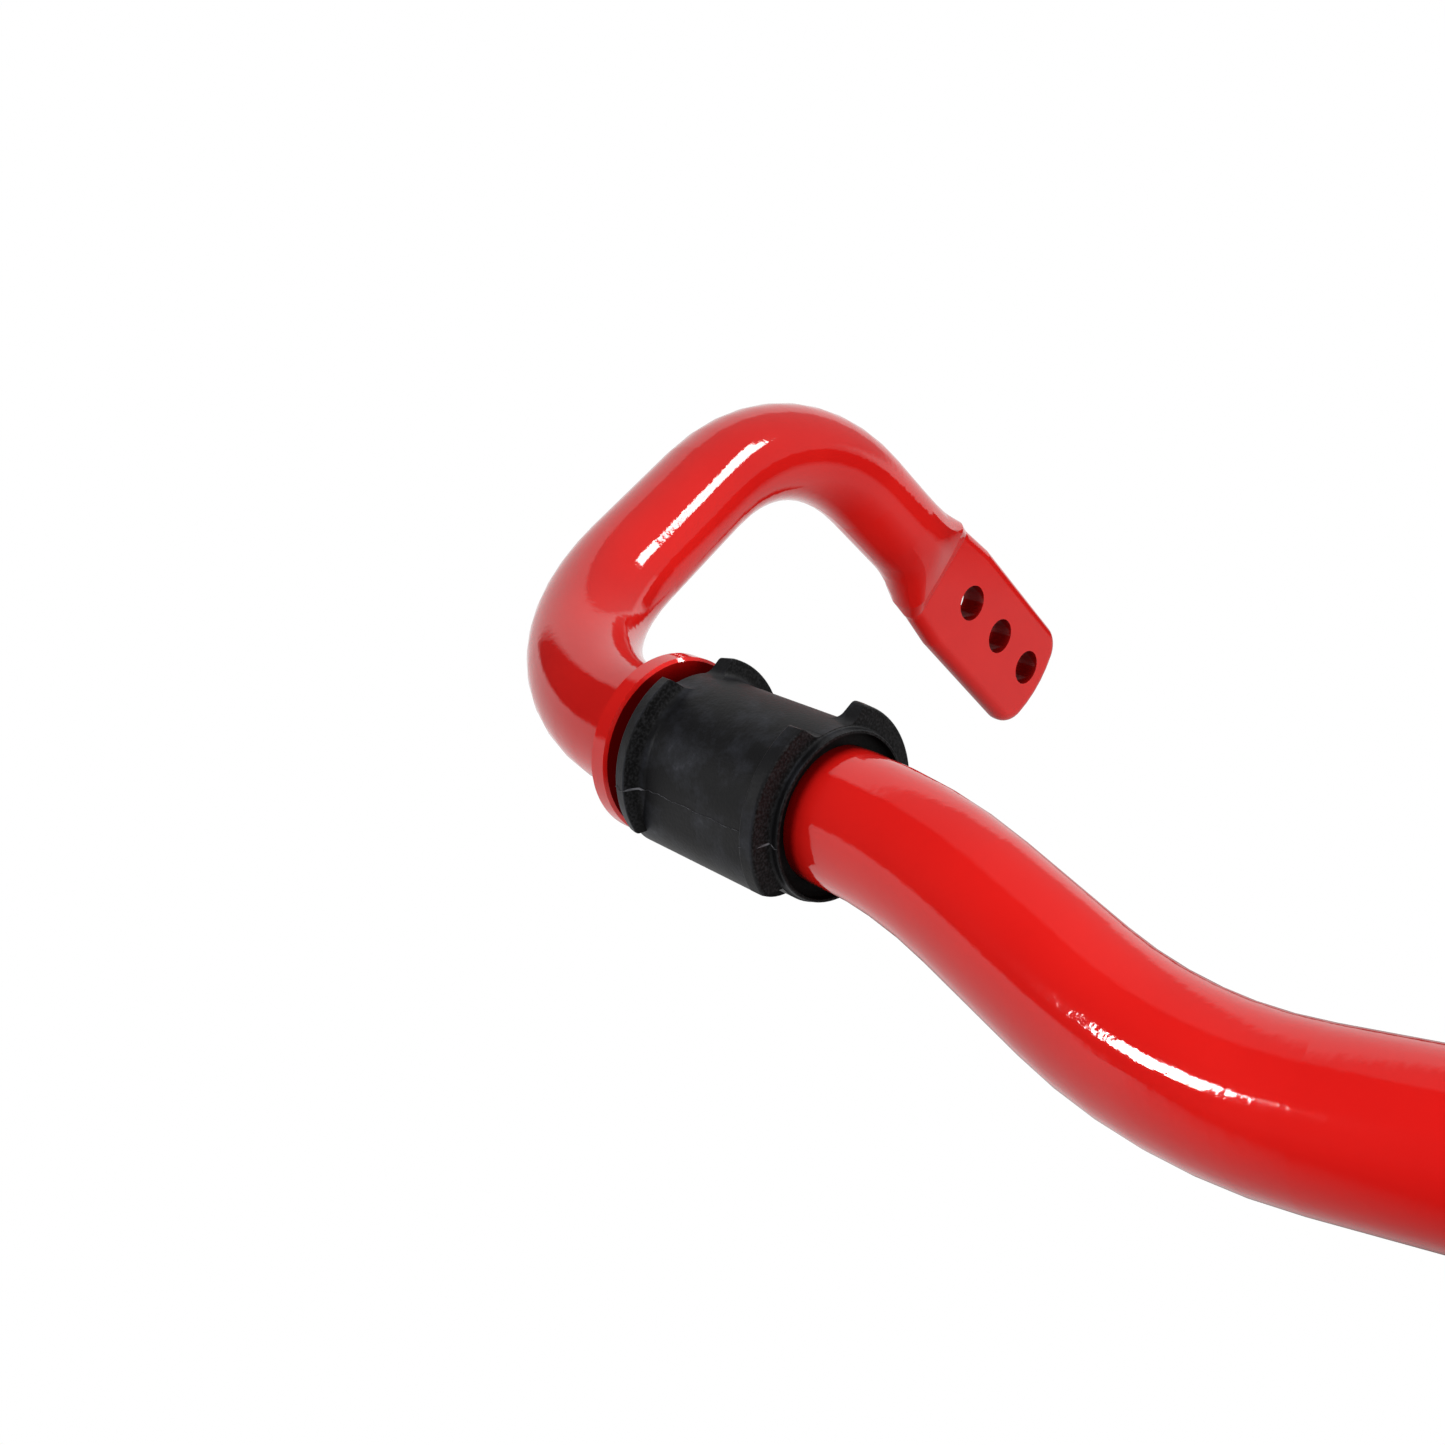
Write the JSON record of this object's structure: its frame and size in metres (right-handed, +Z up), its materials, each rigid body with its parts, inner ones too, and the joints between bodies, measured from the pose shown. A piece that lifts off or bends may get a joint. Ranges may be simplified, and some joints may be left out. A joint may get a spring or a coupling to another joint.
{
  "type": "sway bar",
  "caption": "Adjustable car sway bar: one bent round bar with pressed blade ends and link holes, lock collars and split D bushings.",
  "frame": {"origin": "on the axis of the two bushings, at the middle between them", "axes": "+X across the car, +Y rearwards along the arms, +Z up, from the bushings' flat bases to their crowns"},
  "size_m": [0.931, 0.2429, 0.1211],
  "materials": {
    "red_powder_coat": "glossy red powder coat over steel",
    "black_rubber": "matt black moulded rubber"
  },
  "bodies": {
    "left_bushing": {"left_bushing": "black_rubber"},
    "bar": {"sway_bar": "red_powder_coat", "left_lock_collar": "red_powder_coat", "right_lock_collar": "red_powder_coat"},
    "right_bushing": {"right_bushing": "black_rubber"}
  },
  "joints": [
    {"name": "bar_swing", "type": "hinge", "parent": "left_bushing", "child": "bar", "pos_m": [-0.35, 0, 0], "axis": [1, 0, 0], "range_deg": [-25, 25]},
    {"name": "right_bushing_turn", "type": "hinge", "parent": "bar", "child": "right_bushing", "pos_m": [0.35, 0, 0], "axis": [1, 0, 0], "range_deg": [-25, 25]}
  ],
  "couplings": [
    {"joint": "right_bushing_turn", "follows": "bar_swing", "ratio": -1}
  ]
}
